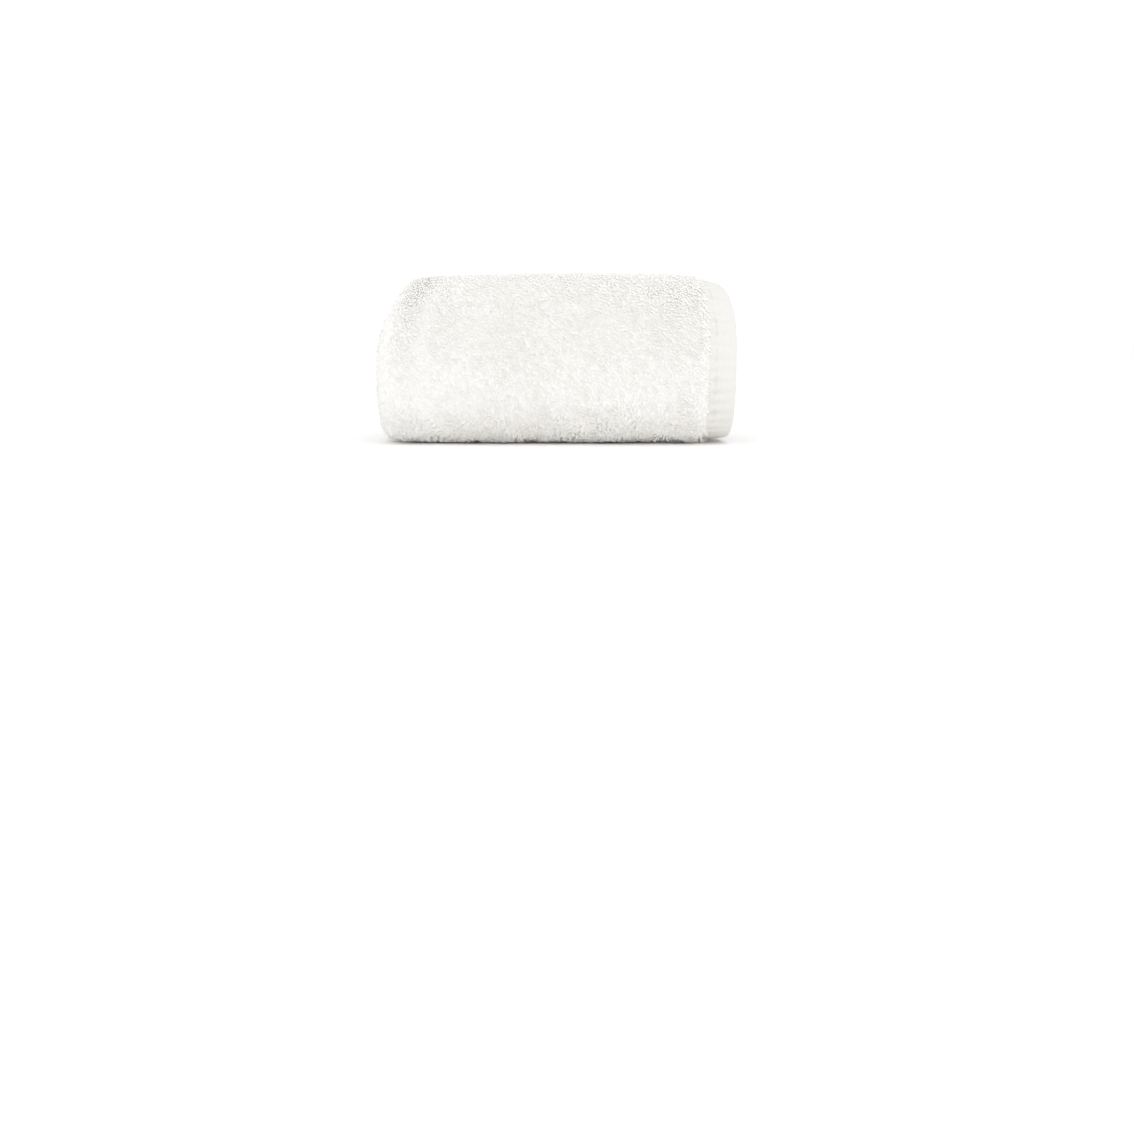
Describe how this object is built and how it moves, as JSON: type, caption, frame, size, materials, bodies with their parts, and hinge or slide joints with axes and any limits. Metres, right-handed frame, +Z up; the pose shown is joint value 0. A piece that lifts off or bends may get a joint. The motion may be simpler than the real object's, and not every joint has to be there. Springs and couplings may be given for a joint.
{
  "type": "rolled guest towel",
  "caption": "Small thick towel of looped cotton terry, folded in half along its length, rolled up from one short end and lying on the flat of its outer turn.",
  "frame": {"origin": "bottom centre of the bounding box, on the surface that the roll rests on", "axes": "+X along the roll from its folded end to its hemmed end, +Y towards the loose end of the cloth, +Z up"},
  "size_m": [0.1508, 0.1024, 0.0719],
  "materials": {
    "cotton_terry": "ivory looped cotton terry, matt, with flat woven hems in the same colour"
  },
  "bodies": {
    "root": {"rolled_towel": "cotton_terry"}
  },
  "joints": []
}
